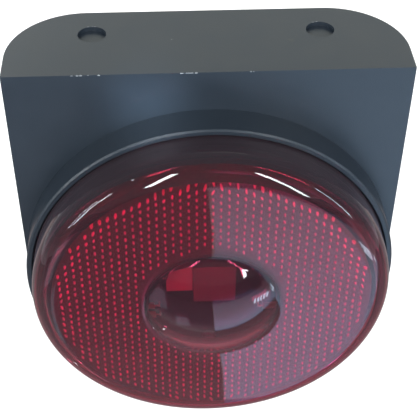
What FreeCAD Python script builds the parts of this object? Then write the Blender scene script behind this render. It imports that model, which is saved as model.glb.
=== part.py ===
import FreeCAD, Part
import math
import os
import re
import Sketcher
from FreeCAD import Placement, Rotation, Vector

# Barricade warning light: a black moulded housing with a round red lens on its front, a lamp board behind
# the lens, four AA cells behind the board, and a hinged battery door in the back.
# Lengths along the depth (y) are counted back from the housing's front face, and x and z from the lens axis.
# The frame's origin is on the mounting face, midway between its two holes: setback and drop lead there.

os.makedirs("parts", exist_ok=True)
doc = FreeCAD.newDocument("warning_light")
dims = doc.addObject("Spreadsheet::Sheet", "dims")
SIZES = {
    "setback": 21.2, "drop": 72.5,
    "width": 120, "depth": 33.5, "wall": 2.8, "top_wall": 3.6, "rear_round": 23.5,
    "boss_r": 59.3, "boss_height": 10.2, "boss_wall": 2.0,
    "hole_x": 34.5, "hole_r": 4.3, "hole_depth": 1.4,
    "lens_r": 57.0, "lens_wall": 2.5, "lens_front": 25.0, "lens_base": 1.2,
    "lens_round": 8.0, "lens_inner_round": 3.0,
    "dome_r": 21.25, "dome_height": 7.0, "clip_width": 8,
    "plate_front": 21.4, "plate_back": 19.4, "plate_r": 50.2, "plate_flange": 9.0, "plate_hole_r": 20.6,
    "board_r": 46, "board_front": 3.6, "board_back": 2.0, "board_screw_r": 40, "screw_r": 1.25,
    "case_left": -5.6, "case_right": 7.8, "case_low": -6.2, "case_high": 9.3, "case_front": 15.0,
    "ledge_y": 29.9, "ledge_back": 27.9, "door_y": 30.9, "door_gap": 0.3,
    "door_half": 32.2, "door_top": 55.0, "door_bottom": -23.0, "door_round": 13.7, "door_top_round": 2.7,
    "opening_half": 28.75, "opening_top": 51.5, "opening_bottom": -11.5, "seal_width": 2.5,
    "pin_y": 36.3, "pin_z": 57.5, "pin_r": 1.2, "barrel_r": 2.3,
    "latch_z": -16.5, "latch_r": 2.0,
    "cell_r": 7.25, "cell_length": 49.3, "nub_length": 1.2, "nub_r": 2.7, "cell_pitch": 14.8,
    "cells_z": 20, "floor_y": 10.5, "tray_floor": 1.5, "tray_half": 28.5, "tray_wall": 1.3,
    "plate_thick": 0.4, "tray_rear": 26.0,
    "switch_x": -15, "switch_travel": 3.0,
    "lead_r": 0.5, "lead_bend": 1.5, "wire_hole_z": -20,
}
for row, (name, value) in enumerate(SIZES.items(), start=1):
    dims.set(f"A{row}", name)
    dims.set(f"B{row}", str(value))
    dims.setAlias(f"B{row}", name)
doc.recompute()


def named(expression):
    """The expression with each sheet name written as dims.name."""
    return re.sub(r"[a-z]\w*", lambda m: f"dims.{m[0]}" if m[0] in SIZES else m[0], str(expression))


def number(expression):
    return float(dims.evalExpression(named(expression)))


def put(thing, x, y, z, rotation=None):
    """Places a thing at x, y, z of the lens frame and keeps it bound to the sheet."""
    if rotation:
        thing.Placement = Placement(Vector(), rotation)
    thing.setExpression("Placement.Base.x", named(x))
    thing.setExpression("Placement.Base.y", named(f"({y}) - setback"))
    thing.setExpression("Placement.Base.z", named(f"({z}) - drop"))
    return thing


def box(x0, x1, y0, y1, z0, z1):
    thing = doc.addObject("Part::Box", "box")
    for prop, low, high in (("Length", x0, x1), ("Width", y0, y1), ("Height", z0, z1)):
        thing.setExpression(prop, named(f"({high}) - ({low})"))
    return put(thing, x0, y0, z0)


TURNS = {"x": Rotation(Vector(0, 1, 0), 90), "y": Rotation(Vector(1, 0, 0), -90), "z": Rotation()}


def rod(radius, low, high, along="y", x="0", y="0", z="0"):
    """A cylinder from low to high along one axis."""
    thing = doc.addObject("Part::Cylinder", "rod")
    thing.setExpression("Radius", named(radius))
    thing.setExpression("Height", named(f"({high}) - ({low})"))
    start = {"x": x, "y": y, "z": z}
    start[along] = low
    return put(thing, start["x"], start["y"], start["z"], TURNS[along])


def fuse(*things):
    joined = doc.addObject("Part::MultiFuse", "fuse")
    joined.Shapes = list(things)
    return joined


def cut(base, *tools):
    result = doc.addObject("Part::Cut", "cut")
    result.Base = base
    result.Tool = tools[0] if len(tools) == 1 else fuse(*tools)
    return result


def group(*things):
    """Several equal pieces kept as separate solids in one node."""
    together = doc.addObject("Part::Compound", "group")
    together.Links = list(things)
    return together


def sketch_in(body, role, points):
    """A closed outline of straight sides, with every corner held by the sheet."""
    sketch = body.newObject("Sketcher::SketchObject", "outline")
    plane = [f for f in body.Origin.OriginFeatures if f.Role == role][0]
    sketch.AttachmentSupport = (plane, [""])
    sketch.MapMode = "FlatFace"
    corners = [Vector(number(u), number(v), 0) for u, v in points]
    count = len(corners)
    for i in range(count):
        sketch.addGeometry(Part.LineSegment(corners[i], corners[(i + 1) % count]))
    for i in range(count):
        sketch.addConstraint(Sketcher.Constraint("Coincident", i, 2, (i + 1) % count, 1))
    for i, (u, v) in enumerate(points):
        for kind, size in (("DistanceX", u), ("DistanceY", v)):
            held = sketch.addConstraint(Sketcher.Constraint(kind, -1, 1, i, 1, number(size)))
            sketch.setExpression(f"Constraints[{held}]", named(size))
    doc.recompute()
    return sketch


def fillet(body, feature, radius, wanted):
    """Rounds the edges of the feature that the test wants."""
    doc.recompute()
    edges = [f"Edge{i}" for i, e in enumerate(feature.Shape.Edges, start=1) if wanted(e)]
    rounded = body.newObject("PartDesign::Fillet", "round")
    rounded.Base = (feature, edges)
    rounded.setExpression("Radius", named(radius))
    body.Tip = rounded
    doc.recompute()
    return rounded


def turned(points, x="0", y="0", z="0", along="y"):
    """A piece of revolution: points are (radius, distance along the axis)."""
    body = doc.addObject("PartDesign::Body", "turned")
    sketch = sketch_in(body, "XY_Plane", points)
    spun = body.newObject("PartDesign::Revolution", "spun")
    spun.Profile = sketch
    spun.ReferenceAxis = (sketch, ["V_Axis"])
    spun.Angle = 360
    body.Tip = spun
    lay = {"y": None, "x": Rotation(Vector(0, 0, 1), -90), "-x": Rotation(Vector(0, 0, 1), 90)}
    put(body, x, y, z, lay[along])
    doc.recompute()
    return body


def slab(points, y0, y1):
    """A plate with the given outline in x and z, from y0 back to y1."""
    body = doc.addObject("PartDesign::Body", "slab")
    sketch = sketch_in(body, "XZ_Plane", points)
    pad = body.newObject("PartDesign::Pad", "pad")
    pad.Profile = sketch
    pad.setExpression("Length", named(f"({y1}) - ({y0})"))
    pad.Reversed = True
    body.Tip = pad
    put(body, "0", y0, "0")
    doc.recompute()
    return body, pad


def upright_at(px, pz):
    """Tells whether an edge runs along the depth through px, pz."""
    return lambda e: (
        abs(e.BoundBox.XLength) < 1e-6
        and abs(e.BoundBox.ZLength) < 1e-6
        and abs(abs(e.BoundBox.XMin) - px) < 1e-6
        and abs(e.BoundBox.ZMin - pz) < 1e-6
    )


def door_shape(inset, y0, y1):
    """The battery door's outline, drawn in by inset, as a plate from y0 to y1."""
    half, top, low = f"door_half - ({inset})", f"door_top - ({inset})", f"door_bottom + ({inset})"
    body, pad = slab([(f"-({half})", low), (half, low), (half, top), (f"-({half})", top)], y0, y1)
    bottom = fillet(body, pad, f"door_round - ({inset})", upright_at(number(half), number(low)))
    top_round = number(f"door_top_round - ({inset})")
    if top_round > 0.1:
        fillet(body, bottom, f"door_top_round - ({inset})", upright_at(number(half), number(top)))
    return body


def arch(inset, top, y0, y1, round_by):
    """The housing's outline, a square top over a half-round bottom, rounded at its back edge."""
    body = doc.addObject("PartDesign::Body", "arch")
    radius = f"width / 2 - ({inset})"
    r, t = number(radius), number(top)
    sketch = body.newObject("Sketcher::SketchObject", "outline")
    plane = [f for f in body.Origin.OriginFeatures if f.Role == "XZ_Plane"][0]
    sketch.AttachmentSupport = (plane, [""])
    sketch.MapMode = "FlatFace"
    sketch.addGeometry(Part.LineSegment(Vector(-r, 0, 0), Vector(-r, t, 0)))
    sketch.addGeometry(Part.LineSegment(Vector(-r, t, 0), Vector(r, t, 0)))
    sketch.addGeometry(Part.LineSegment(Vector(r, t, 0), Vector(r, 0, 0)))
    sketch.addGeometry(Part.ArcOfCircle(Part.Circle(Vector(), Vector(0, 0, 1), r), math.pi, 2 * math.pi))
    for joint in ((0, 2, 1, 1), (1, 2, 2, 1), (2, 2, 3, 2), (3, 1, 0, 1), (3, 3, -1, 1)):
        sketch.addConstraint(Sketcher.Constraint("Coincident", *joint))
    sketch.addConstraint(Sketcher.Constraint("PointOnObject", 3, 1, -1))
    sketch.addConstraint(Sketcher.Constraint("PointOnObject", 3, 2, -1))
    sketch.addConstraint(Sketcher.Constraint("Vertical", 0))
    sketch.addConstraint(Sketcher.Constraint("Vertical", 2))
    sketch.addConstraint(Sketcher.Constraint("Horizontal", 1))
    held = sketch.addConstraint(Sketcher.Constraint("Radius", 3, r))
    sketch.setExpression(f"Constraints[{held}]", named(radius))
    held = sketch.addConstraint(Sketcher.Constraint("DistanceY", -1, 1, 1, 1, t))
    sketch.setExpression(f"Constraints[{held}]", named(top))
    pad = body.newObject("PartDesign::Pad", "pad")
    pad.Profile = sketch
    pad.setExpression("Length", named(f"({y1}) - ({y0})"))
    pad.Reversed = True
    body.Tip = pad
    put(body, "0", y0, "0")
    doc.recompute()
    back = pad.Shape.BoundBox.YMax
    fillet(body, pad, round_by, lambda e: e.BoundBox.YMin > back - 1e-6 and e.BoundBox.ZMin < t - 1)
    return body


def polar(radius, degrees):
    """x and z expressions of a point at a radius and an angle up from the x axis."""
    return f"({radius}) * {math.cos(math.radians(degrees)):.6f}", \
        f"({radius}) * {math.sin(math.radians(degrees)):.6f}"


def lens_clip(degrees, r0, r1, y0, y1, width):
    """A short bar set across a radius of the lens at an angle."""
    bar = doc.addObject("Part::Box", "clip")
    bar.setExpression("Length", named(f"({r1}) - ({r0})"))
    bar.setExpression("Width", named(f"({y1}) - ({y0})"))
    bar.setExpression("Height", named(width))
    angle = math.radians(degrees)
    turn = Rotation(Vector(0, 1, 0), -degrees)
    x = f"({r0}) * {math.cos(angle):.6f} + ({width}) / 2 * {math.sin(angle):.6f}"
    z = f"({r0}) * {math.sin(angle):.6f} - ({width}) / 2 * {math.cos(angle):.6f}"
    return put(bar, x, y0, z, turn)


CLIPS = (45, 135, 225, 315)
BOARD_SCREWS = (30, 150, 270)
CELLS_Z = [f"cells_z + ({step}) * cell_pitch" for step in (-1.5, -0.5, 0.5, 1.5)]
TRAY_SCREWS_Z = ["cells_z - cell_pitch", "cells_z + cell_pitch"]
INNER_R = "boss_r - boss_wall"

# housing: one black moulding, a box with a round collar for the lens, posts inside and a door frame behind
shell = arch("0", "drop", "0", "depth", "rear_round")
hollow = arch("wall", "drop - top_wall", "wall", "depth - wall", "rear_round - wall")
collar = turned([
    (INNER_R, "0.5"), ("boss_r", "0.5"), ("boss_r", "-boss_height + 0.5"),
    ("boss_r - 0.5", "-boss_height"), (INNER_R + " + 0.4", "-boss_height"),
    (INNER_R, "-boss_height + 0.4"),
])
frame_block = door_shape("-3.8", "ledge_back", "ledge_y + 1.2")
posts = [rod("3.5", "wall - 0.3", "floor_y - tray_floor", z=z) for z in TRAY_SCREWS_Z]
for angle in BOARD_SCREWS:
    px, pz = polar("board_screw_r", angle)
    posts.append(rod("3", "-board_back", "0.3", x=px, z=pz))
    posts.append(rod("3", "wall - 0.3", "wall + 3.4", x=px, z=pz))
posts.append(rod("4.8", "ledge_y - 5.4", "ledge_back + 0.5", z="latch_z"))
lugs = []
for low, high in (("-7.7", "7.7"), ("20.3", "26"), ("-26", "-20.3")):
    lugs.append(box(low, high, "depth - 0.5", "pin_y", "door_top + door_gap", "pin_z + barrel_r"))
    lugs.append(rod("barrel_r", low, high, "x", y="pin_y", z="pin_z"))
solid = fuse(cut(shell, hollow), collar, frame_block, *posts, *lugs)
voids = [rod("hole_r", "drop - hole_depth", "drop + 1", "z", x=f"{side} * hole_x", y="setback")
         for side in ("-1", "1")]
voids.append(door_shape("-door_gap", "ledge_y", "depth + 1"))
voids.append(box("-opening_half", "opening_half", "ledge_back - 1", "ledge_y + 1",
                 "opening_bottom", "opening_top"))
voids.append(rod("4", "-1", "wall + 1", z="wire_hole_z"))
voids += [rod("screw_r + 0.02", "wall + 0.4", "floor_y", z=z) for z in TRAY_SCREWS_Z]
for angle in BOARD_SCREWS:
    px, pz = polar("board_screw_r", angle)
    voids.append(rod("screw_r + 0.02", "-board_back - 1", "wall + 2.4", x=px, z=pz))
voids += [lens_clip(a, "lens_r - lens_wall - 0.9", "lens_r - 0.5", "-0.01", "wall + 1", "clip_width + 0.8")
          for a in CLIPS]
voids.append(rod("3.52", "ledge_y - 4.9", "ledge_y + 1", z="latch_z"))
voids.append(rod("latch_r + 0.9", "ledge_y - 6.5", "ledge_y - 4", z="latch_z"))
voids.append(box("switch_x - 4", "switch_x + 4", "ledge_back - 1", "ledge_y + 1",
                 "latch_z - 2.3", "latch_z + 2.3"))
voids += [rod("1.02", "ledge_back - 1", "ledge_y + 1", x=f"switch_x + ({s})", z="latch_z") for s in (-8, 8)]
voids.append(rod("pin_r + 0.02", "-27", "27", "x", y="pin_y", z="pin_z"))
housing = cut(solid, *voids)

# lens: the clear red cover, a skirt with a rounded rim, a flat face and the hollow dome in its middle,
# held by four clips that snap behind the housing's front wall
body = doc.addObject("PartDesign::Body", "cover")
profile = sketch_in(body, "XY_Plane", [
    ("0", "-lens_front"), ("lens_r", "-lens_front"), ("lens_r", "-lens_base"),
    ("lens_r - lens_wall", "-lens_base"), ("lens_r - lens_wall", "lens_wall - lens_front"),
    ("0", "lens_wall - lens_front"),
])
spun = body.newObject("PartDesign::Revolution", "spun")
spun.Profile = profile
spun.ReferenceAxis = (profile, ["V_Axis"])
spun.Angle = 360
body.Tip = spun


def ring_at(radius, y):
    r, height = number(radius), number(y)
    return lambda e: (
        abs(e.BoundBox.YMin - height) < 1e-6
        and e.BoundBox.YLength < 1e-6
        and abs(e.BoundBox.XMax - r) < 1e-4
    )


rim = fillet(body, spun, "lens_round", ring_at("lens_r", "-lens_front"))
fillet(body, rim, "lens_inner_round", ring_at("lens_r - lens_wall", "lens_wall - lens_front"))
put(body, "0", "0", "0")
dome_ball_r = "(dome_r ^ 2 + dome_height ^ 2) / (2 * dome_height)"


def ball_cap(radius, y_front_side):
    """The part of a ball ahead of the lens face, or ahead of its inner side."""
    ball = doc.addObject("Part::Sphere", "ball")
    ball.setExpression("Radius", named(radius))
    put(ball, "0", f"{dome_ball_r} - dome_height - lens_front", "0")
    cap = doc.addObject("Part::Common", "cap")
    cap.Base = ball
    cap.Tool = rod("dome_r + 6", "-lens_front - dome_height - 1", y_front_side)
    return cap


bulge = ball_cap(dome_ball_r, "-lens_front + 0.6")
scoop = ball_cap(f"{dome_ball_r} - lens_wall", "lens_wall - lens_front + 0.01")
clips = []
for angle in CLIPS:
    clips.append(lens_clip(angle, "lens_r - lens_wall + 0.1", "lens_r - 0.6", "-lens_base - 0.5", "wall + 2.2",
                           "clip_width"))
    clips.append(lens_clip(angle, "lens_r - 1.2", "lens_r - 0.1", "wall + 0.1", "wall + 2.2", "clip_width"))
lens = cut(fuse(body, bulge, *clips), scoop)

# reflex_reflector: the flat red ring behind the lens face, welded to it round the dome, with a deep outer edge
reflex_reflector = turned([
    ("plate_hole_r", "-lens_front + lens_wall"), ("plate_hole_r + 0.6", "-lens_front + lens_wall"),
    ("plate_hole_r + 0.6", "-plate_front"), ("plate_r", "-plate_front"), ("plate_r", "-plate_flange"),
    ("plate_r - 1.2", "-plate_flange"), ("plate_r - 1.2", "-plate_back"), ("plate_hole_r", "-plate_back"),
])

# lens_seal: rubber ring under the lens skirt, notched for the clips
seal_ring = turned([
    ("lens_r - lens_wall", "0"), ("lens_r", "0"),
    ("lens_r", "-lens_base"), ("lens_r - lens_wall", "-lens_base"),
])
lens_seal = cut(seal_ring, *[
    lens_clip(a, "lens_r - lens_wall - 1", "lens_r - 0.3", "-lens_base - 1", "1", "clip_width + 0.4")
    for a in CLIPS
])

# led_board: round lamp board on three short posts ahead of the housing's front wall
board_disc = rod("board_r", "-board_front", "-board_back")
board_holes = []
for angle in BOARD_SCREWS:
    px, pz = polar("board_screw_r", angle)
    board_holes.append(rod("1.6", "-board_front - 1", "0", x=px, z=pz))
led_board = cut(board_disc, *board_holes)


def pan_screw(x, y, z, head_r, head_height, shank_r, length, forward):
    """A pan-head screw. forward is 1 when its head faces the front."""
    s = forward
    points = [
        ("0", f"{-s} * {head_height}"), (f"{head_r} - 0.5", f"{-s} * {head_height}"),
        (f"{head_r}", f"{-s} * ({head_height} - 0.6)"), (f"{head_r}", "0"),
        (f"{shank_r}", "0"), (f"{shank_r}", f"{s} * ({length} - 0.8)"), ("0.5", f"{s} * {length}"),
        ("0", f"{s} * {length}"),
    ]
    whole = turned(points, x, y, z)
    arm = f"{head_r} * 0.6"
    low, high = sorted((f"({y}) - {s} * {head_height + 0.2}", f"({y}) - {s} * {head_height - 0.9}"), key=number)
    across = box(f"({x}) - {arm}", f"({x}) + {arm}", low, high, f"({z}) - 0.3", f"({z}) + 0.3")
    along = box(f"({x}) - 0.3", f"({x}) + 0.3", low, high, f"({z}) - {arm}", f"({z}) + {arm}")
    return cut(whole, across, along)


screws = []
for angle in BOARD_SCREWS:
    px, pz = polar("board_screw_r", angle)
    screws.append(pan_screw(px, "-board_front", pz, 2.6, 1.8, 1.25, 7.0, 1))
board_screws = group(*screws)

# lamp_case: grey box on the board that holds the lamps; lamp_window is the diffuser across its front
lamp_case = cut(
    box("case_left", "case_right", "-case_front", "-board_front", "case_low", "case_high"),
    box("case_left + 1", "case_right - 1", "-case_front - 1", "-board_front - 1",
        "case_low + 1", "case_high - 1"),
    *[rod("2.6", "-board_front - 3", "-board_front + 1", x="(case_left + case_right) / 2", z=z)
      for z in ("case_low + 4.8", "case_high - 4.8")],
)
lamp_window = box("case_left", "case_right", "-case_front - 1", "-case_front", "case_low", "case_high")

# lamps: two round red light-emitting diodes
lamps = group(*[
    turned([
        ("0", "-board_front"), ("2.5", "-board_front"), ("2.5", "-board_front - 5.4"),
        ("2.2", "-board_front - 6.5"), ("1.5", "-board_front - 7.4"), ("0", "-board_front - 7.8"),
    ], x="(case_left + case_right) / 2", z=z) for z in ("case_low + 4.8", "case_high - 4.8")
])

# boost_coil: white cased coil beside the lamp case, which lifts the cells' voltage for the lamps
boost_coil = cut(
    box("case_left - 8.6", "case_left - 0.3", "-case_front + 0.4", "-board_front",
        "case_low + 3.8", "case_high"),
    box("case_left - 9", "case_left", "-board_front - 1", "-board_front + 1", "case_low + 6", "case_high - 2"),
)

# flasher_chip: eight-legged chip that times the flashes
chip = box("17", "26.5", "-board_front - 4", "-board_front - 0.6", "16", "22.4")
legs = [box(f"{18 + 2.54 * k:.2f} - 0.3", f"{18 + 2.54 * k:.2f} + 0.3", "-board_front - 2.4", "-board_front",
            low, high) for k in range(4) for low, high in (("15.2", "16.2"), ("22.2", "23.2"))]
chip_dot = rod("0.6", "-board_front - 4.5", "-board_front - 3.7", x="18.2", z="19.2")
flasher_chip = cut(fuse(chip, *legs), chip_dot)

# storage_capacitor: can that feeds each flash
storage_capacitor = turned([
    ("0", "-board_front"), ("3.6", "-board_front"), ("4", "-board_front - 0.4"), ("4", "-board_front - 1"),
    ("3.7", "-board_front - 1.4"), ("4", "-board_front - 1.8"), ("4", "-board_front - 8.6"),
    ("3.6", "-board_front - 9"), ("0", "-board_front - 9"),
], x="-24", z="20")


def resistor(x, z):
    """A round body on a bent wire that stands in the board at both ends."""
    parts = [rod("1.2", f"{x} - 3.1", f"{x} + 3.1", "x", y="-board_front - 1.6", z=z),
             rod("0.3", f"{x} - 5", f"{x} + 5", "x", y="-board_front - 1.6", z=z)]
    parts += [rod("0.3", "-board_front - 1.9", "-board_front", x=f"{x} + ({s})", z=z) for s in (-4.7, 4.7)]
    return fuse(*parts)


resistors = group(resistor("-22", "-20"), resistor("-22", "-25"), resistor("22", "-22"))

# battery_holder: open tray for four AA cells, screwed to two posts
holder_low = "cells_z - 2 * cell_pitch - 1.4"
holder_high = "cells_z + 2 * cell_pitch + 1.4"
tray = box("-tray_half", "tray_half", "floor_y - tray_floor", "tray_rear", holder_low, holder_high)
well = box("-tray_half + tray_wall", "tray_half - tray_wall", "floor_y", "tray_rear + 1",
           f"{holder_low} + tray_wall", f"{holder_high} - tray_wall")
ribs = [box(f"{s} * 12 - 1", f"{s} * 12 + 1", "floor_y - 0.5", "floor_y + 2.2", f"{z} - 0.6", f"{z} + 0.6")
        for s in ("-1", "1") for z in ("cells_z - cell_pitch", "cells_z", "cells_z + cell_pitch")]
finger_gaps = [box("-9", "9", "floor_y + 8", "tray_rear + 1", low, high) for low, high in (
    (f"{holder_low} - 1", f"{holder_low} + 2"), (f"{holder_high} - 2", f"{holder_high} + 1"))]
lead_x = "tray_half - tray_wall - plate_thick - 0.55"
lead_holes = [rod("0.9", "floor_y - 3", "floor_y + 1", x=lead_x, z=z) for z in (CELLS_Z[0], CELLS_Z[3])]
screw_holes = [rod("1.5", "floor_y - 3", "floor_y + 1", z=z) for z in TRAY_SCREWS_Z]
battery_holder = fuse(
    cut(tray, well, *finger_gaps, *lead_holes, *screw_holes),
    *ribs)
holder_screws = group(*[pan_screw("0", "floor_y", z, 2.5, 1.3, 1.25, 6.2, -1) for z in TRAY_SCREWS_Z])

# cells: four AA cells in series, every second one turned round
cell_y = "floor_y + cell_r + 0.02"
end_x = "(tray_half - tray_wall - plate_thick)"
cells = []
for i, z in enumerate(CELLS_Z):
    forward = "x" if i % 2 else "-x"
    cells.append(turned([
        ("0", "0"), ("cell_r - 0.6", "0"), ("cell_r", "0.5"), ("cell_r", "cell_length - 0.6"),
        ("cell_r - 0.8", "cell_length"), ("nub_r + 0.3", "cell_length"), ("nub_r", "cell_length + 0.3"),
        ("nub_r", "cell_length + nub_length - 0.3"), ("nub_r - 0.5", "cell_length + nub_length"),
        ("0", "cell_length + nub_length"),
    ], f"{'' if i % 2 else '-'}({end_x} - cell_length - nub_length)", cell_y, z, forward))

# contact_plates: nickel strips at the two ends of the tray, joining the cells in series
plates = []
for side, pairs in ((-1, ((0, 1), (2, 3))), (1, ((0, 0), (1, 2), (3, 3)))):
    low, high = ("-tray_half + tray_wall", f"-{end_x}") if side < 0 else (end_x, "tray_half - tray_wall")
    for first, last in pairs:
        plates.append(box(low, high, "floor_y + 0.6", "floor_y + 13", f"{CELLS_Z[first]} - 5.5",
                          f"{CELLS_Z[last]} + 5.5"))
contact_plates = group(*plates)


def contact_spring(index):
    """A coil that pushes on the flat end of one cell, between the end plate and the cell."""
    gap = number(f"2 * {end_x} - cell_length - nub_length")
    wire_r = 0.3
    height = gap - 2 * wire_r - 0.02
    coil = doc.addObject("Part::Helix", "coil")
    coil.Pitch = height / 3
    coil.Height = height
    coil.Radius = 3.4
    coil.SegmentLength = 0.25
    doc.recompute()
    first = coil.Shape.Edges[0]
    at, tangent = first.valueAt(first.FirstParameter), first.tangentAt(first.FirstParameter)
    ring = Part.Wire(Part.makeCircle(wire_r, at, tangent))
    shape = Part.Wire(Part.__sortEdges__(coil.Shape.Edges)).makePipeShell([ring], True, True)
    side = -1 if index % 2 else 1
    spring = doc.addObject("Part::Feature", "spring")
    spring.Shape = shape
    start = f"{side} * ({end_x} - {wire_r} - 0.01)"
    return put(spring, start, cell_y, CELLS_Z[index], Rotation(Vector(0, 1, 0), -90 * side))


contact_springs = group(*[contact_spring(i) for i in range(4)])


def lead(corners):
    """An insulated wire along straight runs joined by round bends."""
    spots = [Vector(*[number(value) for value in corner]) for corner in corners]
    bend = number("lead_bend")
    edges = []
    start = spots[0]
    for before, at, after in zip(spots, spots[1:], spots[2:]):
        into = (at - before).normalize()
        out = (after - at).normalize()
        near, far = at - into * bend, at + out * bend
        middle = at + (out - into).normalize() * bend * (math.sqrt(2) - 1)
        edges.append(Part.makeLine(start, near))
        edges.append(Part.Arc(near, middle, far).toShape())
        start = far
    edges.append(Part.makeLine(start, spots[-1]))
    ring = Part.Wire(Part.makeCircle(number("lead_r"), spots[0], spots[1] - spots[0]))
    wire = doc.addObject("Part::Feature", "lead")
    wire.Shape = Part.Wire(edges).makePipeShell([ring], True, False)
    return put(wire, "0", "0", "0")


run_y = "wall + 1.6"
switch_back = "ledge_back - 7"
lead_red = lead([
    (lead_x, "floor_y + 2", CELLS_Z[3]), (lead_x, run_y, CELLS_Z[3]), (lead_x, run_y, "wire_hole_z"),
    ("2", run_y, "wire_hole_z"), ("2", "-board_back", "wire_hole_z"),
])
lead_black = lead([
    (lead_x, "floor_y + 2", CELLS_Z[0]), (lead_x, "wall + 3.7", CELLS_Z[0]), (lead_x, "wall + 3.7", "latch_z"),
    ("switch_x + 3", "wall + 3.7", "latch_z"), ("switch_x + 3", switch_back, "latch_z"),
])
lead_switched = lead([
    ("switch_x - 3", switch_back, "latch_z"), ("switch_x - 3", run_y, "latch_z"),
    ("switch_x - 3", run_y, "wire_hole_z"), ("-2", run_y, "wire_hole_z"), ("-2", "-board_back", "wire_hole_z"),
])

# switch_body: small slide switch behind the door frame, held by two screws, with its slider in a slot
switch_case = fuse(
    box("switch_x - 6", "switch_x + 6", switch_back, "ledge_back - 0.5", "latch_z - 3.5", "latch_z + 3.5"),
    box("switch_x - 9.8", "switch_x + 9.8", "ledge_back - 1", "ledge_back", "latch_z - 3", "latch_z + 3"),
)
switch_body = cut(
    switch_case,
    box("switch_x - 4.2", "switch_x + 4.2", "ledge_back - 4.5", "ledge_back + 1",
        "latch_z - 2.1", "latch_z + 2.1"),
    *[rod("1.02", "ledge_back - 2", "ledge_back + 1", x=f"switch_x + ({s})", z="latch_z") for s in (-8, 8)],
)
switch_at = "switch_x - switch_travel / 2"
switch_slider = cut(
    box(f"{switch_at} - 1.8", f"{switch_at} + 1.8", "ledge_back - 4.4", "ledge_y + 0.3", "latch_z - 1.8",
        "latch_z + 1.8"),
    *[box(f"{switch_at} + ({s}) - 0.25", f"{switch_at} + ({s}) + 0.25", "ledge_y - 0.1", "ledge_y + 1",
          "latch_z - 2", "latch_z + 2") for s in (-0.9, 0, 0.9)],
)
switch_screws = group(*[pan_screw(f"switch_x + ({s})", "ledge_y", "latch_z", 1.7, 0.8, 1.0, 4.0, -1)
                        for s in (-8, 8)])

# battery_door: flush door in the back, hung from a pin along its top edge
door_arms = []
for low, high in (("8", "20"), ("-20", "-8")):
    door_arms.append(box(low, high, "depth - 0.2", "pin_y - 0.3", "door_top - 6", "door_top - 0.2"))
    door_arms.append(box(low, high, "depth + 0.4", "pin_y - 0.3", "door_top - 6", "pin_z"))
    door_arms.append(rod("barrel_r", low, high, "x", y="pin_y", z="pin_z"))
grips = [box("-12", "12", "depth - 0.2", "depth + 0.9", f"latch_z + {9 + 3 * k}", f"latch_z + {10.2 + 3 * k}")
         for k in range(3)]
battery_door = cut(
    fuse(door_shape("0", "door_y", "depth"), *door_arms, *grips),
    rod("pin_r + 0.08", "-27", "27", "x", y="pin_y", z="pin_z"),
    rod("latch_r + 0.08", "door_y - 1", "depth + 1", z="latch_z"),
)

# door_seal: rubber ring round the door frame
door_seal = cut(door_shape("0", "ledge_y", "door_y"), door_shape("seal_width", "ledge_y - 1", "door_y + 1"))

# hinge_pin: steel pin through the housing's lugs
hinge_pin = rod("pin_r", "-26", "26", "x", y="pin_y", z="pin_z")

# door_screw: captive coin-slot screw of the door; its retainer snaps on inside the door
door_screw = cut(
    turned([
        ("0", "depth + 2.5"), ("3.9", "depth + 2.5"), ("4.5", "depth + 1.9"), ("4.5", "depth"),
        ("latch_r", "depth"), ("latch_r", "door_y - 3.5"), ("latch_r - 0.4", "door_y - 3.9"),
        ("0", "door_y - 3.9"),
    ], z="latch_z"),
    box("-5", "5", "depth + 1.1", "depth + 3", "latch_z - 0.8", "latch_z + 0.8"),
)
screw_retainer = cut(
    rod("3.6", "ledge_y + 0.2", "door_y - 0.1", z="latch_z"),
    rod("latch_r", "ledge_y", "door_y", z="latch_z"),
)
door_insert = cut(
    rod("3.5", "ledge_y - 4.9", "ledge_y", z="latch_z"),
    rod("latch_r + 0.6", "ledge_y - 6", "ledge_y + 1", z="latch_z"),
)

nodes = {
    "housing": housing, "lens": lens, "reflex_reflector": reflex_reflector, "lens_seal": lens_seal,
    "led_board": led_board, "board_screws": board_screws, "lamp_case": lamp_case, "lamp_window": lamp_window,
    "lamps": lamps, "boost_coil": boost_coil,
    "flasher_chip": flasher_chip, "storage_capacitor": storage_capacitor, "resistors": resistors,
    "battery_holder": battery_holder, "holder_screws": holder_screws,
    "cell_1": cells[0], "cell_2": cells[1], "cell_3": cells[2], "cell_4": cells[3],
    "contact_plates": contact_plates, "contact_springs": contact_springs,
    "lead_red": lead_red, "lead_black": lead_black, "lead_switched": lead_switched,
    "switch_body": switch_body, "switch_slider": switch_slider, "switch_screws": switch_screws,
    "battery_door": battery_door, "door_seal": door_seal, "hinge_pin": hinge_pin,
    "door_screw": door_screw, "screw_retainer": screw_retainer, "door_insert": door_insert,
}
doc.recompute()
for thing in doc.Objects:
    if {"Invalid", "Error"} & set(thing.State):
        raise RuntimeError(f"{thing.Name} ({thing.TypeId}) is {thing.State}")
for name, thing in nodes.items():
    thing.Label = name
    shape = thing.Shape
    if shape.isNull() or not shape.isValid() or not shape.Solids:
        raise RuntimeError(f"{name} has no valid solid")
    shape.exportStep(f"parts/{name}.step")
    print(name, len(shape.Solids), round(shape.Volume, 1), shape.optimalBoundingBox())
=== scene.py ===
import bmesh
import bpy
import math
import random
from mathutils import Matrix, Vector


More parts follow.
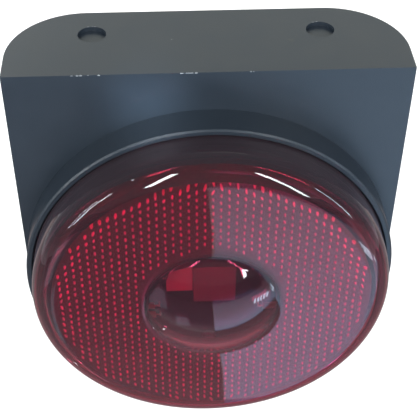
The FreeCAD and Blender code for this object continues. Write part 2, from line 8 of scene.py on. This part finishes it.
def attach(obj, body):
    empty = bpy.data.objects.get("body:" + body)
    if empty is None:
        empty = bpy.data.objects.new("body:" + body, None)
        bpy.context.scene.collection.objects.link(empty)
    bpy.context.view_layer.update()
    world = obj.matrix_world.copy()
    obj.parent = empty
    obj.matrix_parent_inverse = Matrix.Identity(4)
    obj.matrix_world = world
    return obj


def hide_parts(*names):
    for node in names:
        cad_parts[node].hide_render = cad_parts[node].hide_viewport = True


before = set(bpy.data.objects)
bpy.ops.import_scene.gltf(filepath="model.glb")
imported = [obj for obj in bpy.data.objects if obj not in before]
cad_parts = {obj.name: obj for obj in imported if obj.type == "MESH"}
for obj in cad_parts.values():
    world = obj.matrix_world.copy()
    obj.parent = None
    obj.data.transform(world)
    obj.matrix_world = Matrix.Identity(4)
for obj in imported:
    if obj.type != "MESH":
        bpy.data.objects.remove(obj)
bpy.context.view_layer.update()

# The housing is one black moulding: a square box end that carries the mounting face, a half-round bottom,
# and a round collar for the lens. It has a fine spark-eroded grain. A few white burrs are left along its
# top front edge, and white slivers on the far rims of the mounting holes are painted highlights.
MM = 0.001
SETBACK, DROP = 21.2, 72.5


def spot(x, y, z):
    """A point counted from the lens axis on the housing's front face, in the frame's metres."""
    return Vector((x, y - SETBACK, z - DROP)) * MM


def joined(name, verts, faces, mats, body, smooth=40, which=None):
    """One mesh piece riding a body, shaded smooth up to an angle."""
    mesh = bpy.data.meshes.new(name)
    mesh.from_pydata([tuple(v) for v in verts], [], faces)
    for m in mats:
        mesh.materials.append(m)
    if which:
        mesh.polygons.foreach_set("material_index", which)
    fix = bmesh.new()
    fix.from_mesh(mesh)
    bmesh.ops.recalc_face_normals(fix, faces=fix.faces)
    fix.to_mesh(mesh)
    fix.free()
    piece = bpy.data.objects.new(name, mesh)
    bpy.context.scene.collection.objects.link(piece)
    mesh.shade_smooth()
    mesh.set_sharp_from_angle(angle=math.radians(smooth))
    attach(piece, body)
    return piece


def surface(name, colour, rough, metal=0.0, grain=900.0, bump=0.1, fleck=0.15, rough_spread=0.08, wear=None,
            **plain):
    """A finish with cloudy colour, uneven gloss and a fine grain, in the piece's own coordinates.

    wear is a scuff's colour, its scale and how rare it is. Other named values go straight to the shader.
    """
    mat = bpy.data.materials.new(name)
    mat.use_nodes = True
    nodes, links = mat.node_tree.nodes, mat.node_tree.links
    shader = nodes["Principled BSDF"]
    shader.inputs["Metallic"].default_value = metal
    for socket, value in plain.items():
        shader.inputs[socket.replace("_", " ")].default_value = value
    place = nodes.new("ShaderNodeTexCoord")
    cloud = nodes.new("ShaderNodeTexNoise")
    cloud.inputs["Scale"].default_value = grain / 25
    cloud.inputs["Detail"].default_value = 5
    links.new(place.outputs["Object"], cloud.inputs["Vector"])
    fine = nodes.new("ShaderNodeTexNoise")
    fine.inputs["Scale"].default_value = grain
    fine.inputs["Detail"].default_value = 3
    links.new(place.outputs["Object"], fine.inputs["Vector"])
    tone = nodes.new("ShaderNodeMix")
    tone.data_type = "RGBA"
    tone.inputs["A"].default_value = tuple(c * (1 - fleck) for c in colour) + (1,)
    tone.inputs["B"].default_value = tuple(min(1, c * (1 + fleck)) for c in colour) + (1,)
    links.new(cloud.outputs["Fac"], tone.inputs["Factor"])
    skin = tone.outputs["Result"]
    if wear:
        scuffs = nodes.new("ShaderNodeTexNoise")
        scuffs.inputs["Scale"].default_value = wear[1]
        scuffs.inputs["Detail"].default_value = 8
        scuffs.inputs["Roughness"].default_value = 0.7
        links.new(place.outputs["Object"], scuffs.inputs["Vector"])
        picked = nodes.new("ShaderNodeMapRange")
        picked.inputs["From Min"].default_value = wear[2]
        picked.inputs["From Max"].default_value = wear[2] + 0.06
        links.new(scuffs.outputs["Fac"], picked.inputs["Value"])
        worn = nodes.new("ShaderNodeMix")
        worn.data_type = "RGBA"
        worn.inputs["B"].default_value = tuple(wear[0]) + (1,)
        links.new(picked.outputs["Result"], worn.inputs["Factor"])
        links.new(skin, worn.inputs["A"])
        skin = worn.outputs["Result"]
    links.new(skin, shader.inputs["Base Color"])
    gloss = nodes.new("ShaderNodeMapRange")
    gloss.inputs["To Min"].default_value = max(0.02, rough - rough_spread)
    gloss.inputs["To Max"].default_value = min(1.0, rough + rough_spread)
    links.new(cloud.outputs["Fac"], gloss.inputs["Value"])
    links.new(gloss.outputs["Result"], shader.inputs["Roughness"])
    if bump:
        raised = nodes.new("ShaderNodeBump")
        raised.inputs["Strength"].default_value = bump
        raised.inputs["Distance"].default_value = 0.0001
        links.new(fine.outputs["Fac"], raised.inputs["Height"])
        links.new(raised.outputs["Normal"], shader.inputs["Normal"])
    return mat


def dress(node, mat, smooth=35):
    """Gives a CAD node its finish and smooth shading up to an angle."""
    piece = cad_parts[node]
    piece.data.materials.clear()
    piece.data.materials.append(mat)
    piece.data.shade_smooth()
    piece.data.set_sharp_from_angle(angle=math.radians(smooth))
    return piece


black_plastic = surface("black_plastic", (0.030, 0.040, 0.053), 0.36, grain=2600, bump=0.35, fleck=0.12,
                        wear=((0.05, 0.055, 0.056), 55, 0.66))
dress("housing", black_plastic, 30)
white_burr_and_painted_glint = surface("white_burr_and_painted_glint", (0.62, 0.64, 0.66), 0.6, grain=4000, bump=0.2)
random.seed(4)
verts, faces = [], []
UP, FORWARD = Vector((0, 0, 1)), Vector((0, -1, 0))
SLIVER_TOP, BURR_FRONT = DROP - 0.015, -0.012


def white_sliver(centre, long, lean_over, up):
    """A thin six-sided sliver lying on the plastic, long along x, flat against the way up."""
    first = len(verts)
    for k in range(6):
        a = k * math.pi / 3
        verts.append(centre + (Vector((long * math.cos(a), 0, 0)) + lean_over * math.sin(a)) * MM)
    verts.append(centre + up * 0.03 * MM)
    faces.append(tuple(range(first + 5, first - 1, -1)))
    for k in range(6):
        faces.append((first + k, first + (k + 1) % 6, first + 6))


for centre, reach, count in ((-38.5, 1.8, 9), (-8.3, 0.6, 3), (-5.2, 1.6, 10), (12.5, 0.7, 2), (-33, 3, 2)):
    for _ in range(count):
        x = centre + random.uniform(-reach, reach)
        long, tall = random.uniform(0.15, 0.5), random.uniform(0.04, 0.13)
        white_sliver(spot(x, BURR_FRONT, DROP - 0.05 - tall), long, Vector((0, 0, tall)), FORWARD)
        white_sliver(spot(x, tall + 0.05, SLIVER_TOP), long, Vector((0, tall, 0)), UP)
hole_rim = 4.45
# White slivers on the far rims of the two mounting holes: painted highlights.
for hole_x, turns in ((-34.5, (78, 92, 104)), (34.5, (98, 112))):
    for turn in turns:
        a = math.radians(turn + random.uniform(-3, 3))
        at = spot(hole_x + hole_rim * math.cos(a), SETBACK + hole_rim * math.sin(a), SLIVER_TOP)
        white_sliver(at, random.uniform(0.3, 0.6), Vector((0, 0.12, 0)), UP)
white_sliver(spot(-10.6, 17.5, SLIVER_TOP), 0.25, Vector((0, 0.25, 0)), UP)
burr_and_glint_piece = joined("housing_burrs_and_painted_glints", verts, faces, [white_burr_and_painted_glint], "light")

# The lens is a clear red injection-moulded cover: skirt, rounded rim, flat face and a hollow dome in the
# middle. It is polished all over and snaps behind the housing's front wall with four clips. Inside its
# front corner the wall thickens to a ledge round the reflector.


def red_clear(name, colour, rough=0.02, clear=1.0, haze=0.0):
    """Clear red plastic with faint flow marks. haze is the pale bloom of fine dust and scratches."""
    mat = bpy.data.materials.new(name)
    mat.use_nodes = True
    nodes, links = mat.node_tree.nodes, mat.node_tree.links
    shader = nodes["Principled BSDF"]
    shader.inputs["IOR"].default_value = 1.49
    shader.inputs["Transmission Weight"].default_value = clear
    shader.inputs["Sheen Weight"].default_value = haze
    shader.inputs["Sheen Roughness"].default_value = 0.9
    shader.inputs["Sheen Tint"].default_value = (1.0, 0.75, 0.9, 1)
    place = nodes.new("ShaderNodeTexCoord")
    flow = nodes.new("ShaderNodeTexNoise")
    flow.inputs["Scale"].default_value = 60
    flow.inputs["Detail"].default_value = 6
    links.new(place.outputs["Object"], flow.inputs["Vector"])
    tone = nodes.new("ShaderNodeMix")
    tone.data_type = "RGBA"
    tone.inputs["A"].default_value = tuple(c * 0.96 for c in colour) + (1,)
    tone.inputs["B"].default_value = tuple(colour) + (1,)
    links.new(flow.outputs["Fac"], tone.inputs["Factor"])
    links.new(tone.outputs["Result"], shader.inputs["Base Color"])
    gloss = nodes.new("ShaderNodeMapRange")
    gloss.inputs["To Min"].default_value = rough * 0.5
    gloss.inputs["To Max"].default_value = rough * 1.5
    links.new(flow.outputs["Fac"], gloss.inputs["Value"])
    links.new(gloss.outputs["Result"], shader.inputs["Roughness"])
    return mat


def lathe(profile, steps):
    """Points and faces of a closed profile (radius, y) turned about the lens axis."""
    verts, faces, rings = [], [], []
    for r, y in profile:
        if r < 1e-6:
            rings.append([len(verts)])
            verts.append(spot(0, y, 0))
            continue
        rings.append(list(range(len(verts), len(verts) + steps)))
        for k in range(steps):
            a = 2 * math.pi * k / steps
            verts.append(spot(r * math.cos(a), y, r * math.sin(a)))
    for one, two in zip(rings, rings[1:] + rings[:1]):
        if len(one) == 1 and len(two) == 1:
            continue
        for k in range(steps):
            a, b = one[k % len(one)], one[(k + 1) % len(one)]
            c, d = two[(k + 1) % len(two)], two[k % len(two)]
            faces.append(tuple(dict.fromkeys((a, b, c, d))))
    return verts, faces


def arc(cr, cy, radius, start, end, count):
    """Profile points on a circle, angles in degrees counted from outward towards the front."""
    turns = [math.radians(start + (end - start) * i / count) for i in range(count + 1)]
    return [(cr + radius * math.cos(a), cy - radius * math.sin(a)) for a in turns]


lens_r, lens_base, lens_face, lens_round, lens_wall = 57.0, 1.2, 25.0, 8.0, 2.5
dome_r, dome_height = 21.25, 7.0
ledge_r, ledge_back, ledge_round = 50.5, 20.3, 2.8
inner_face, inner_r = lens_face - lens_wall, lens_r - lens_wall
ball = (dome_r ** 2 + dome_height ** 2) / (2 * dome_height)
ball_y = ball - dome_height - lens_face
edge = math.degrees(math.asin(dome_r / ball))
outer = [(lens_r, -lens_base)] + arc(lens_r - lens_round, lens_round - lens_face, lens_round, 0, 90, 24)
outer += [(30.0, -lens_face), (22.6, -lens_face), (21.9, -lens_face - 0.05), (21.4, -lens_face - 0.25)]
outer += arc(0.0, ball_y, ball, 90 - edge + 1.2, 90, 26)
inner_ball = ball - lens_wall
inner_edge = math.degrees(math.acos((ball_y + inner_face) / inner_ball))
inner = arc(0.0, ball_y, inner_ball, 90, 90 - inner_edge, 22)
inner += [(30.0, -inner_face), (ledge_r, -inner_face)]
inner += arc(inner_r - ledge_round, ledge_round - ledge_back, ledge_round, 90, 0, 14)
inner += [(inner_r, -lens_base)]
verts, faces = lathe(outer + inner, 256)
clip_arm, clip_hook, clip_half = (54.6, 56.4, -1.6, 5.0), (55.8, 56.9, 2.9, 5.0), 4
for angle in (45, 135, 225, 315):
    a = math.radians(angle)
    out, side = Vector((math.cos(a), 0, math.sin(a))), Vector((-math.sin(a), 0, math.cos(a)))
    for r0, r1, y0, y1 in (clip_arm, clip_hook):
        f = len(verts)
        for y in (y0, y1):
            for r, across in ((r0, -clip_half), (r1, -clip_half), (r1, clip_half), (r0, clip_half)):
                corner = out * r + side * across
                verts.append(spot(corner.x, y, corner.z))
        faces += [(f, f + 1, f + 2, f + 3), (f + 7, f + 6, f + 5, f + 4), (f, f + 4, f + 5, f + 1),
                  (f + 1, f + 5, f + 6, f + 2), (f + 2, f + 6, f + 7, f + 3), (f + 3, f + 7, f + 4, f)]
# The rim and the skirt get darker red tints than the face: painted shade for the dark housing seen through
# them.
FACE_TINT, RIM_PAINTED_SHADE, SKIRT_PAINTED_SHADE = 0, 1, 2
rim_from, rim_to, rim_back = 49.8, 55.8, -17
which = []
for f in faces:
    middle = sum((Vector(verts[i]) for i in f), Vector()) / len(f) - spot(0, 0, 0)
    reach = math.hypot(middle.x, middle.z) / MM
    in_rim = reach < rim_to and middle.y < rim_back * MM
    which.append(FACE_TINT if reach < rim_from else RIM_PAINTED_SHADE if in_rim else SKIRT_PAINTED_SHADE)
lens = joined("lens_cover", verts, faces, [
    red_clear("red_clear_plastic", (0.92, 0.11, 0.24), clear=0.99, haze=0.042),
    red_clear("red_clear_rim_painted_shade", (0.72, 0.045, 0.10), clear=0.99, haze=0.055),
    red_clear("red_clear_skirt_painted_shade", (0.20, 0.05, 0.08), clear=0.99, haze=0.075),
], "light", 35, which)
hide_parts("lens")

# The reflex reflector is a moulded red ring behind the lens face, welded to it round the dome. Its front
# is a field of small upright prisms in staggered rows. They send light back the way it came; a painted glow
# of three strengths stands for that, strongest along the top edge and weaker low down and on the right.
reflector_red = surface("reflector_red", (0.085, 0.006, 0.022), 0.35, grain=1500, bump=0.1)
# Each prism finish glows with no lamp behind it: a painted glow in three strengths.
prism_painted_glows = [
    surface(f"prism_{name}", (0.95, 0.22, 0.50), 0.25, grain=1500, bump=0.0, fleck=0.04,
            Emission_Color=(1.0, 0.05, 0.32, 1), Emission_Strength=lit)
    for name, lit in (("bright", 0.34), ("red", 0.16), ("dull", 0.07))
]
plate_front, plate_back, flange_back = -21.4, -19.4, -9.0
ring = [(20.6, -inner_face), (21.2, -inner_face), (21.2, plate_front), (50.0, plate_front)]
ring += [(50.2, plate_front + 0.2), (50.2, flange_back), (49.0, flange_back), (49.0, plate_back + 0.2)]
ring += [(48.8, plate_back), (20.8, plate_back), (20.6, plate_back - 0.2)]
verts, faces = lathe(ring, 160)
PLAIN, BRIGHT, RED, DULL = 0, 1, 2, 3
which = [PLAIN] * len(faces)
row_gap, pitch = 2.37, 2.72
first_r, last_r, highlight_r, highlight_above = 23.6, 49.3, 45.5, 5
half_width, half_height = 0.42, 0.70
prism_steps = ((1.0, -21.35), (0.85, -21.75), (0.45, -21.98))
random.seed(11)
for column in range(-22, 23):
    for row in range(-20, 21):
        x = column * row_gap + random.gauss(0, 0.05)
        z = (row + 0.5 * (column % 2)) * pitch + random.gauss(0, 0.07)
        reach = math.hypot(x, z)
        if not first_r < reach < last_r:
            continue
        first = len(verts)
        outer_lean = 0.5 * max(0.0, reach - 42) / 8 * (1 if x * z > 0 else -1)
        lean = Matrix.Rotation(random.gauss(0, 0.12) + outer_lean, 2)
        wide = half_width * random.uniform(0.85, 1.1)
        tall = half_height * random.uniform(0.85, 1.15) * (1 + 0.3 * (reach > 46))
        for scale, y in prism_steps:
            for k in range(8):
                a = math.pi * (k + 0.5) / 4
                edge_at = lean @ Vector((wide * scale * math.cos(a), tall * scale * math.sin(a)))
                verts.append(spot(x + edge_at.x, y, z + edge_at.y))
        # Prisms low down and on the right glow less (painted shade); those along the top edge glow most
        # (painted highlight).
        painted_shade_share = 0.25 + 0.45 * (z < -12) + 0.5 * (x > 3)
        painted_highlight_edge = reach > highlight_r and z > highlight_above
        lit = BRIGHT if painted_highlight_edge else DULL if random.random() < painted_shade_share else RED
        for level in (0, 8):
            for k in range(8):
                here, beside = first + level + k, first + level + (k + 1) % 8
                faces.append((here, beside, beside + 8, here + 8))
        faces.append(tuple(range(first + 16, first + 24)))
        which += [lit] * (len(faces) - len(which))
reflector = joined("reflector_prisms", verts, faces, [reflector_red, *prism_painted_glows], "light", 50, which)
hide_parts("reflex_reflector")

# The seals are moulded black rubber rings. One is squeezed under the lens skirt as the clips snap home,
# and one lies round the door frame, where the door presses on it.
seal_rubber = surface("seal_rubber", (0.018, 0.018, 0.02), 0.62, grain=1800, bump=0.3)
dress("lens_seal", seal_rubber)
dress("door_seal", seal_rubber)

# The lamp board is a round of fibreglass under green solder mask, on three short posts moulded in the
# housing. Zinc-plated steel screws hold it, and more like them hold the battery tray and the switch.
board_green = surface("board_green", (0.015, 0.10, 0.045), 0.35, grain=2400, bump=0.2, fleck=0.3)
dress("led_board", board_green)
zinc_steel = surface("zinc_steel", (0.62, 0.62, 0.60), 0.3, metal=1.0, grain=1600, bump=0.08, fleck=0.08)
for node in ("board_screws", "holder_screws", "switch_screws"):
    dress(node, zinc_steel)

# The lamps are two light-emitting diodes of clear red resin, soldered to the board in a grey plastic case
# with a frosted window. The boost coil beside them is potted in a white plastic case.
dress("boost_coil", surface("white_plastic", (0.52, 0.50, 0.47), 0.35, grain=900, bump=0.05, fleck=0.03))
dress("lamp_case", surface("grey_plastic", (0.20, 0.20, 0.21), 0.4, grain=1500, bump=0.15, fleck=0.05))
dress("lamp_window", surface("window_diffuser", (0.17, 0.17, 0.18), 0.45, grain=1500, bump=0.1, fleck=0.04))
dress("lamps", red_clear("lamp_red", (0.95, 0.10, 0.12), 0.05))

# The flashing circuit is soldered to the board too: a chip moulded in black resin, a capacitor can in a
# dark blue plastic sleeve, and three resistors in tan lacquer.
dress("flasher_chip", surface("chip_black", (0.022, 0.022, 0.024), 0.5, grain=2000, bump=0.3))
dress("storage_capacitor", surface("can_sleeve", (0.02, 0.03, 0.09), 0.3, grain=900, bump=0.05))
dress("resistors", surface("resistor_tan", (0.55, 0.40, 0.24), 0.4, grain=1200, bump=0.1))

# The battery tray is moulded in black plastic and screwed to two posts in the housing. Strips and coil
# springs of nickel-plated steel sit in its ends and join the cells.
tray_plastic = surface("tray_plastic", (0.022, 0.023, 0.025), 0.45, grain=1500, bump=0.25)
dress("battery_holder", tray_plastic)
nickel = surface("nickel", (0.72, 0.70, 0.66), 0.22, metal=1.0, grain=900, bump=0.04, fleck=0.05)
dress("contact_plates", nickel)
dress("contact_springs", nickel)

# The four AA cells are steel cans in a printed plastic jacket, black with a copper-coloured band and a
# thin line at the button end. Each is turned the other way round from the one beside it.


def by_length(mat, marks, socket="Base Color"):
    """Lays finishes along x over a material: each mark starts at its x and holds until the next."""
    nodes, links = mat.node_tree.nodes, mat.node_tree.links
    shader = nodes["Principled BSDF"]
    place = nodes.new("ShaderNodeTexCoord")
    split = nodes.new("ShaderNodeSeparateXYZ")
    links.new(place.outputs["Object"], split.inputs["Vector"])
    under = shader.inputs[socket].links[0].from_socket
    for start, colour in marks:
        past = nodes.new("ShaderNodeMath")
        past.operation = "GREATER_THAN" if start > 0 else "LESS_THAN"
        past.inputs[1].default_value = start * MM
        links.new(split.outputs["X"], past.inputs[0])
        over = nodes.new("ShaderNodeMix")
        over.data_type = "RGBA"
        over.inputs["B"].default_value = tuple(colour) + (1,)
        links.new(past.outputs["Value"], over.inputs["Factor"])
        links.new(under, over.inputs["A"])
        under = over.outputs["Result"]
    links.new(under, shader.inputs[socket])
    return mat


COPPER, STEEL, PALE_LINE = (0.48, 0.21, 0.09), (0.55, 0.55, 0.53), (0.55, 0.56, 0.55)
line_at, band_at, button_at, base_at = 11.6, 12.2, 25.05, 23.2
for i in range(4):
    side = 1 if i % 2 else -1
    jacket = surface(f"cell_jacket_{i + 1}", (0.022, 0.023, 0.027), 0.28, metal=0.35, grain=700, bump=0.03,
                     wear=((0.10, 0.10, 0.10), 260, 0.66))
    by_length(jacket, [(side * line_at, PALE_LINE), (side * band_at, COPPER),
                       (side * button_at, STEEL), (-side * base_at, STEEL)])
    dress(f"cell_{i + 1}", jacket)

# The leads are stranded copper wire in soft red and black plastic. They run from the tray to the lamp
# board, one of them by way of the switch, and are soldered at both ends.
dress("lead_red", surface("wire_red", (0.5, 0.012, 0.012), 0.4, grain=1500, bump=0.1))
wire_black = surface("wire_black", (0.02, 0.02, 0.02), 0.4, grain=1500, bump=0.1)
dress("lead_black", wire_black)
dress("lead_switched", wire_black)

# The slide switch has a case of folded tinned steel, held behind the door frame by two screws. Its slider
# is moulded in black plastic and moves in a slot.
dress("switch_body", surface("switch_case", (0.58, 0.58, 0.56), 0.35, metal=1.0, grain=1200, bump=0.08))
dress("switch_slider", surface("slider_plastic", (0.03, 0.03, 0.03), 0.4, grain=1800, bump=0.2))

# The battery door is moulded in the housing's black plastic and hung on a drawn steel pin. A zinc-plated
# screw with a coin slot, kept in the door by a nylon ring, closes it into a brass insert in the door
# frame.
dress("battery_door", black_plastic, 30)
dress("hinge_pin", surface("bright_steel", (0.66, 0.66, 0.66), 0.25, metal=1.0, grain=1400, bump=0.08))
dress("door_screw", zinc_steel)
dress("screw_retainer", surface("retainer_nylon", (0.75, 0.74, 0.70), 0.5, grain=1200, bump=0.1))
dress("door_insert", surface("brass", (0.70, 0.50, 0.22), 0.28, metal=1.0, grain=1600, bump=0.08))

# The floor is plain and pale, well below the hanging light. Cards lie on it and stand in front for the
# gloss to mirror: dim on the left and in front, tan below and behind, and pale elsewhere.


def card(name, width, depth, at, colour, tilt=0, hidden_from=("camera", "diffuse", "shadow"), glow=0.0):
    """A flat card. hidden_from names the kinds of light path that don't see it."""
    mesh = bpy.data.meshes.new(name)
    w, d = width / 2, depth / 2
    mesh.from_pydata([(-w, -d, 0), (w, -d, 0), (w, d, 0), (-w, d, 0)], [], [(0, 1, 2, 3)])
    mesh.materials.append(surface(name, colour, 0.9, grain=40, bump=0.0, fleck=0.02, rough_spread=0.02,
                                  Emission_Color=(1, 1, 1, 1), Emission_Strength=glow))
    piece = bpy.data.objects.new(name, mesh)
    piece.location = at
    piece.rotation_euler.x = math.radians(tilt)
    for path in hidden_from:
        setattr(piece, "visible_" + path, False)
    bpy.context.scene.collection.objects.link(piece)
    return piece


FLOOR = -0.55
card("floor", 9, 9, (0, 0, FLOOR), (0.30, 0.30, 0.30), glow=0.80,
     hidden_from=("diffuse", "glossy", "transmission", "shadow"))
card("floor_bounce", 9, 9, (0, 0, FLOOR - 0.002), (0.90, 0.90, 0.90), hidden_from=("camera",))
card("dim_left", 1.4, 1.0, (-0.67, -0.85, FLOOR + 0.003), (0.10, 0.08, 0.10))
card("tan_under", 2.4, 1.75, (0.05, 0.52, FLOOR + 0.002), (0.24, 0.18, 0.17))
card("dim_front", 3.2, 0.5, (0, -1.36, FLOOR + 0.25), (0.06, 0.06, 0.07), tilt=90)

# Soft boxes light it: tall windows above left and right, a row of small panes low on the right, a pale
# sky behind, and strips of blue daylight on the floor that grow weaker away from the light.


def soft_box(name, direction, distance, width, height, power, colour, aim=(0, -0.02, -0.06)):
    """A lit panel that faces the aim from a direction and distance. The camera doesn't see it."""
    lamp = bpy.data.lights.new(name, "AREA")
    lamp.shape = "RECTANGLE"
    lamp.size, lamp.size_y = width, height
    lamp.energy = power
    lamp.color = colour
    piece = bpy.data.objects.new(name, lamp)
    away = Vector(direction).normalized()
    piece.location = Vector(aim) + away * distance
    piece.rotation_euler = away.to_track_quat("Z", "Y").to_euler()
    piece.visible_camera = False
    bpy.context.scene.collection.objects.link(piece)
    return piece


def toward(az, el):
    """A direction from its compass angle (0 to the front, 90 to the right) and its height, in degrees."""
    a, e = math.radians(az), math.radians(el)
    return math.sin(a) * math.cos(e), -math.cos(a) * math.cos(e), math.sin(e)


DAY = (0.93, 0.97, 1.0)
PALE_BLUE = (0.72, 0.84, 1.0)
SKY_BLUE = (0.62, 0.80, 1.0)
soft_box("left_window", toward(-25, 35), 1.3, 0.10, 0.66, 8, DAY)
soft_box("left_far", toward(-62, 16), 1.3, 0.035, 0.65, 3, DAY)
soft_box("left_outer", toward(-69, 12), 1.3, 0.02, 0.55, 1.3, DAY)
soft_box("left_bits", toward(-72, 47), 1.3, 0.05, 0.03, 0.15, DAY)
soft_box("right_window", toward(33.5, 24), 1.3, 0.085, 1.0, 8, DAY)
for k in range(5):
    pane = toward(42 + 3.2 * k, -26.5 + 0.3 * k)
    soft_box(f"right_low_{k + 1}", pane, 0.85, 0.030, 0.080, 0.075, PALE_BLUE)
soft_box("right_bit", toward(64, -26), 0.85, 0.02, 0.05, 0.06, DAY)
soft_box("left_bit", toward(-64, -63), 0.5, 0.012, 0.010, 0.008, DAY)
soft_box("right_far", toward(66, 13), 0.9, 0.02, 0.42, 0.9, PALE_BLUE)
soft_box("back_sky", (0.05, 0.83, 0.52), 1.5, 1.8, 0.7, 4.5, (1.0, 1.0, 0.84))
soft_box("left_low", toward(-53, -25), 0.85, 0.28, 0.34, 0.22, SKY_BLUE)
soft_box("left_spot", toward(-29, -45), 0.6, 0.10, 0.12, 0.03, SKY_BLUE)
strip_edges = (-0.335, -0.455, -0.495, -0.530, -0.565, -0.600, -1.20)
strip_width, strip_tilt = 0.87, math.radians(11)
for k, (near, far) in enumerate(zip(strip_edges, strip_edges[1:])):
    depth, middle = (near - far) / math.cos(strip_tilt), (near + far) / 2
    power, blue = (4.3 - 0.5 * k) * strip_width * depth, (0.20 - 0.03 * k, 0.51, 1.0)
    strip = soft_box(f"blue_low_{k + 1}", (0, 0, -1), 0.1, strip_width, depth, power, blue)
    strip.location = (0.465, middle, FLOOR + 0.008 - (middle - strip_edges[0]) * math.tan(strip_tilt))
    strip.rotation_euler = (math.pi - strip_tilt, 0, 0)
for k in range(4):
    power = 0.024 - 0.006 * k
    strip = soft_box(f"near_left_{k + 1}", (0, 0, -1), 0.1, 0.53, 0.04, power, (0.80, 1.0, 1.0))
    strip.location = (-0.235, -0.325 - 0.04 * k, FLOOR + 0.008)
    strip.rotation_euler = (math.pi, 0, 0)
glint_lamp = bpy.data.lights.new("lens_glint", "SPOT")
glint_lamp.energy, glint_lamp.color = 12.0, (0.66, 0.84, 1.0)
glint_lamp.spot_size, glint_lamp.spot_blend, glint_lamp.shadow_soft_size = math.radians(3.8), 1.0, 0.01
glint = bpy.data.objects.new("lens_glint", glint_lamp)
glint.location = (-0.06, -0.36, 0.13)
glint_aim = Vector((-0.018, -SETBACK * MM, -0.010))
glint.rotation_euler = (glint.location - glint_aim).to_track_quat("Z", "Y").to_euler()
glint.visible_camera = glint.visible_glossy = False
bpy.context.scene.collection.objects.link(glint)
soft_box("back_left", toward(205, 6), 1.5, 0.6, 0.7, 9, DAY)
soft_box("back_right", toward(140, 14), 1.5, 0.3, 0.7, 6, DAY)
wash = soft_box("floor_wash", (0, 0, 1), 0.1, 2.4, 1.2, 13, (1, 1, 1))
wash.location = (0.05, 0.95, -0.12)

# The room is an even, faintly blue grey. The camera sees a plain near-white backdrop in its place.
world = bpy.data.worlds.new("room")
bpy.context.scene.world = world
world.use_nodes = True
nodes, links = world.node_tree.nodes, world.node_tree.links
room = nodes["Background"]
room.inputs["Color"].default_value = (0.70, 0.80, 0.90, 1)
room.inputs["Strength"].default_value = 0.30
backdrop = nodes.new("ShaderNodeBackground")
backdrop.inputs["Color"].default_value = (0.93, 0.93, 0.94, 1)
seen = nodes.new("ShaderNodeLightPath")
choose = nodes.new("ShaderNodeMixShader")
links.new(seen.outputs["Is Camera Ray"], choose.inputs["Fac"])
links.new(room.outputs["Background"], choose.inputs[1])
links.new(backdrop.outputs["Background"], choose.inputs[2])
links.new(choose.outputs["Shader"], nodes["World Output"].inputs["Surface"])

# The camera stands in front of the light and above it, a third of a metre away. It looks down at 42 degrees
# and a little to the right.
camera_data = bpy.data.cameras.new("camera")
camera_data.sensor_width = 36
camera_data.lens = 90.9
camera = bpy.data.objects.new("camera", camera_data)
tilt, roll, pan = 47.832, -0.247, -2.756
camera.location = spot(-13.17, -249.92, 246.42)
camera.rotation_euler = [math.radians(turn) for turn in (tilt, roll, pan)]
bpy.context.scene.collection.objects.link(camera)
bpy.context.scene.camera = camera
bpy.context.scene.view_settings.view_transform = "Standard"
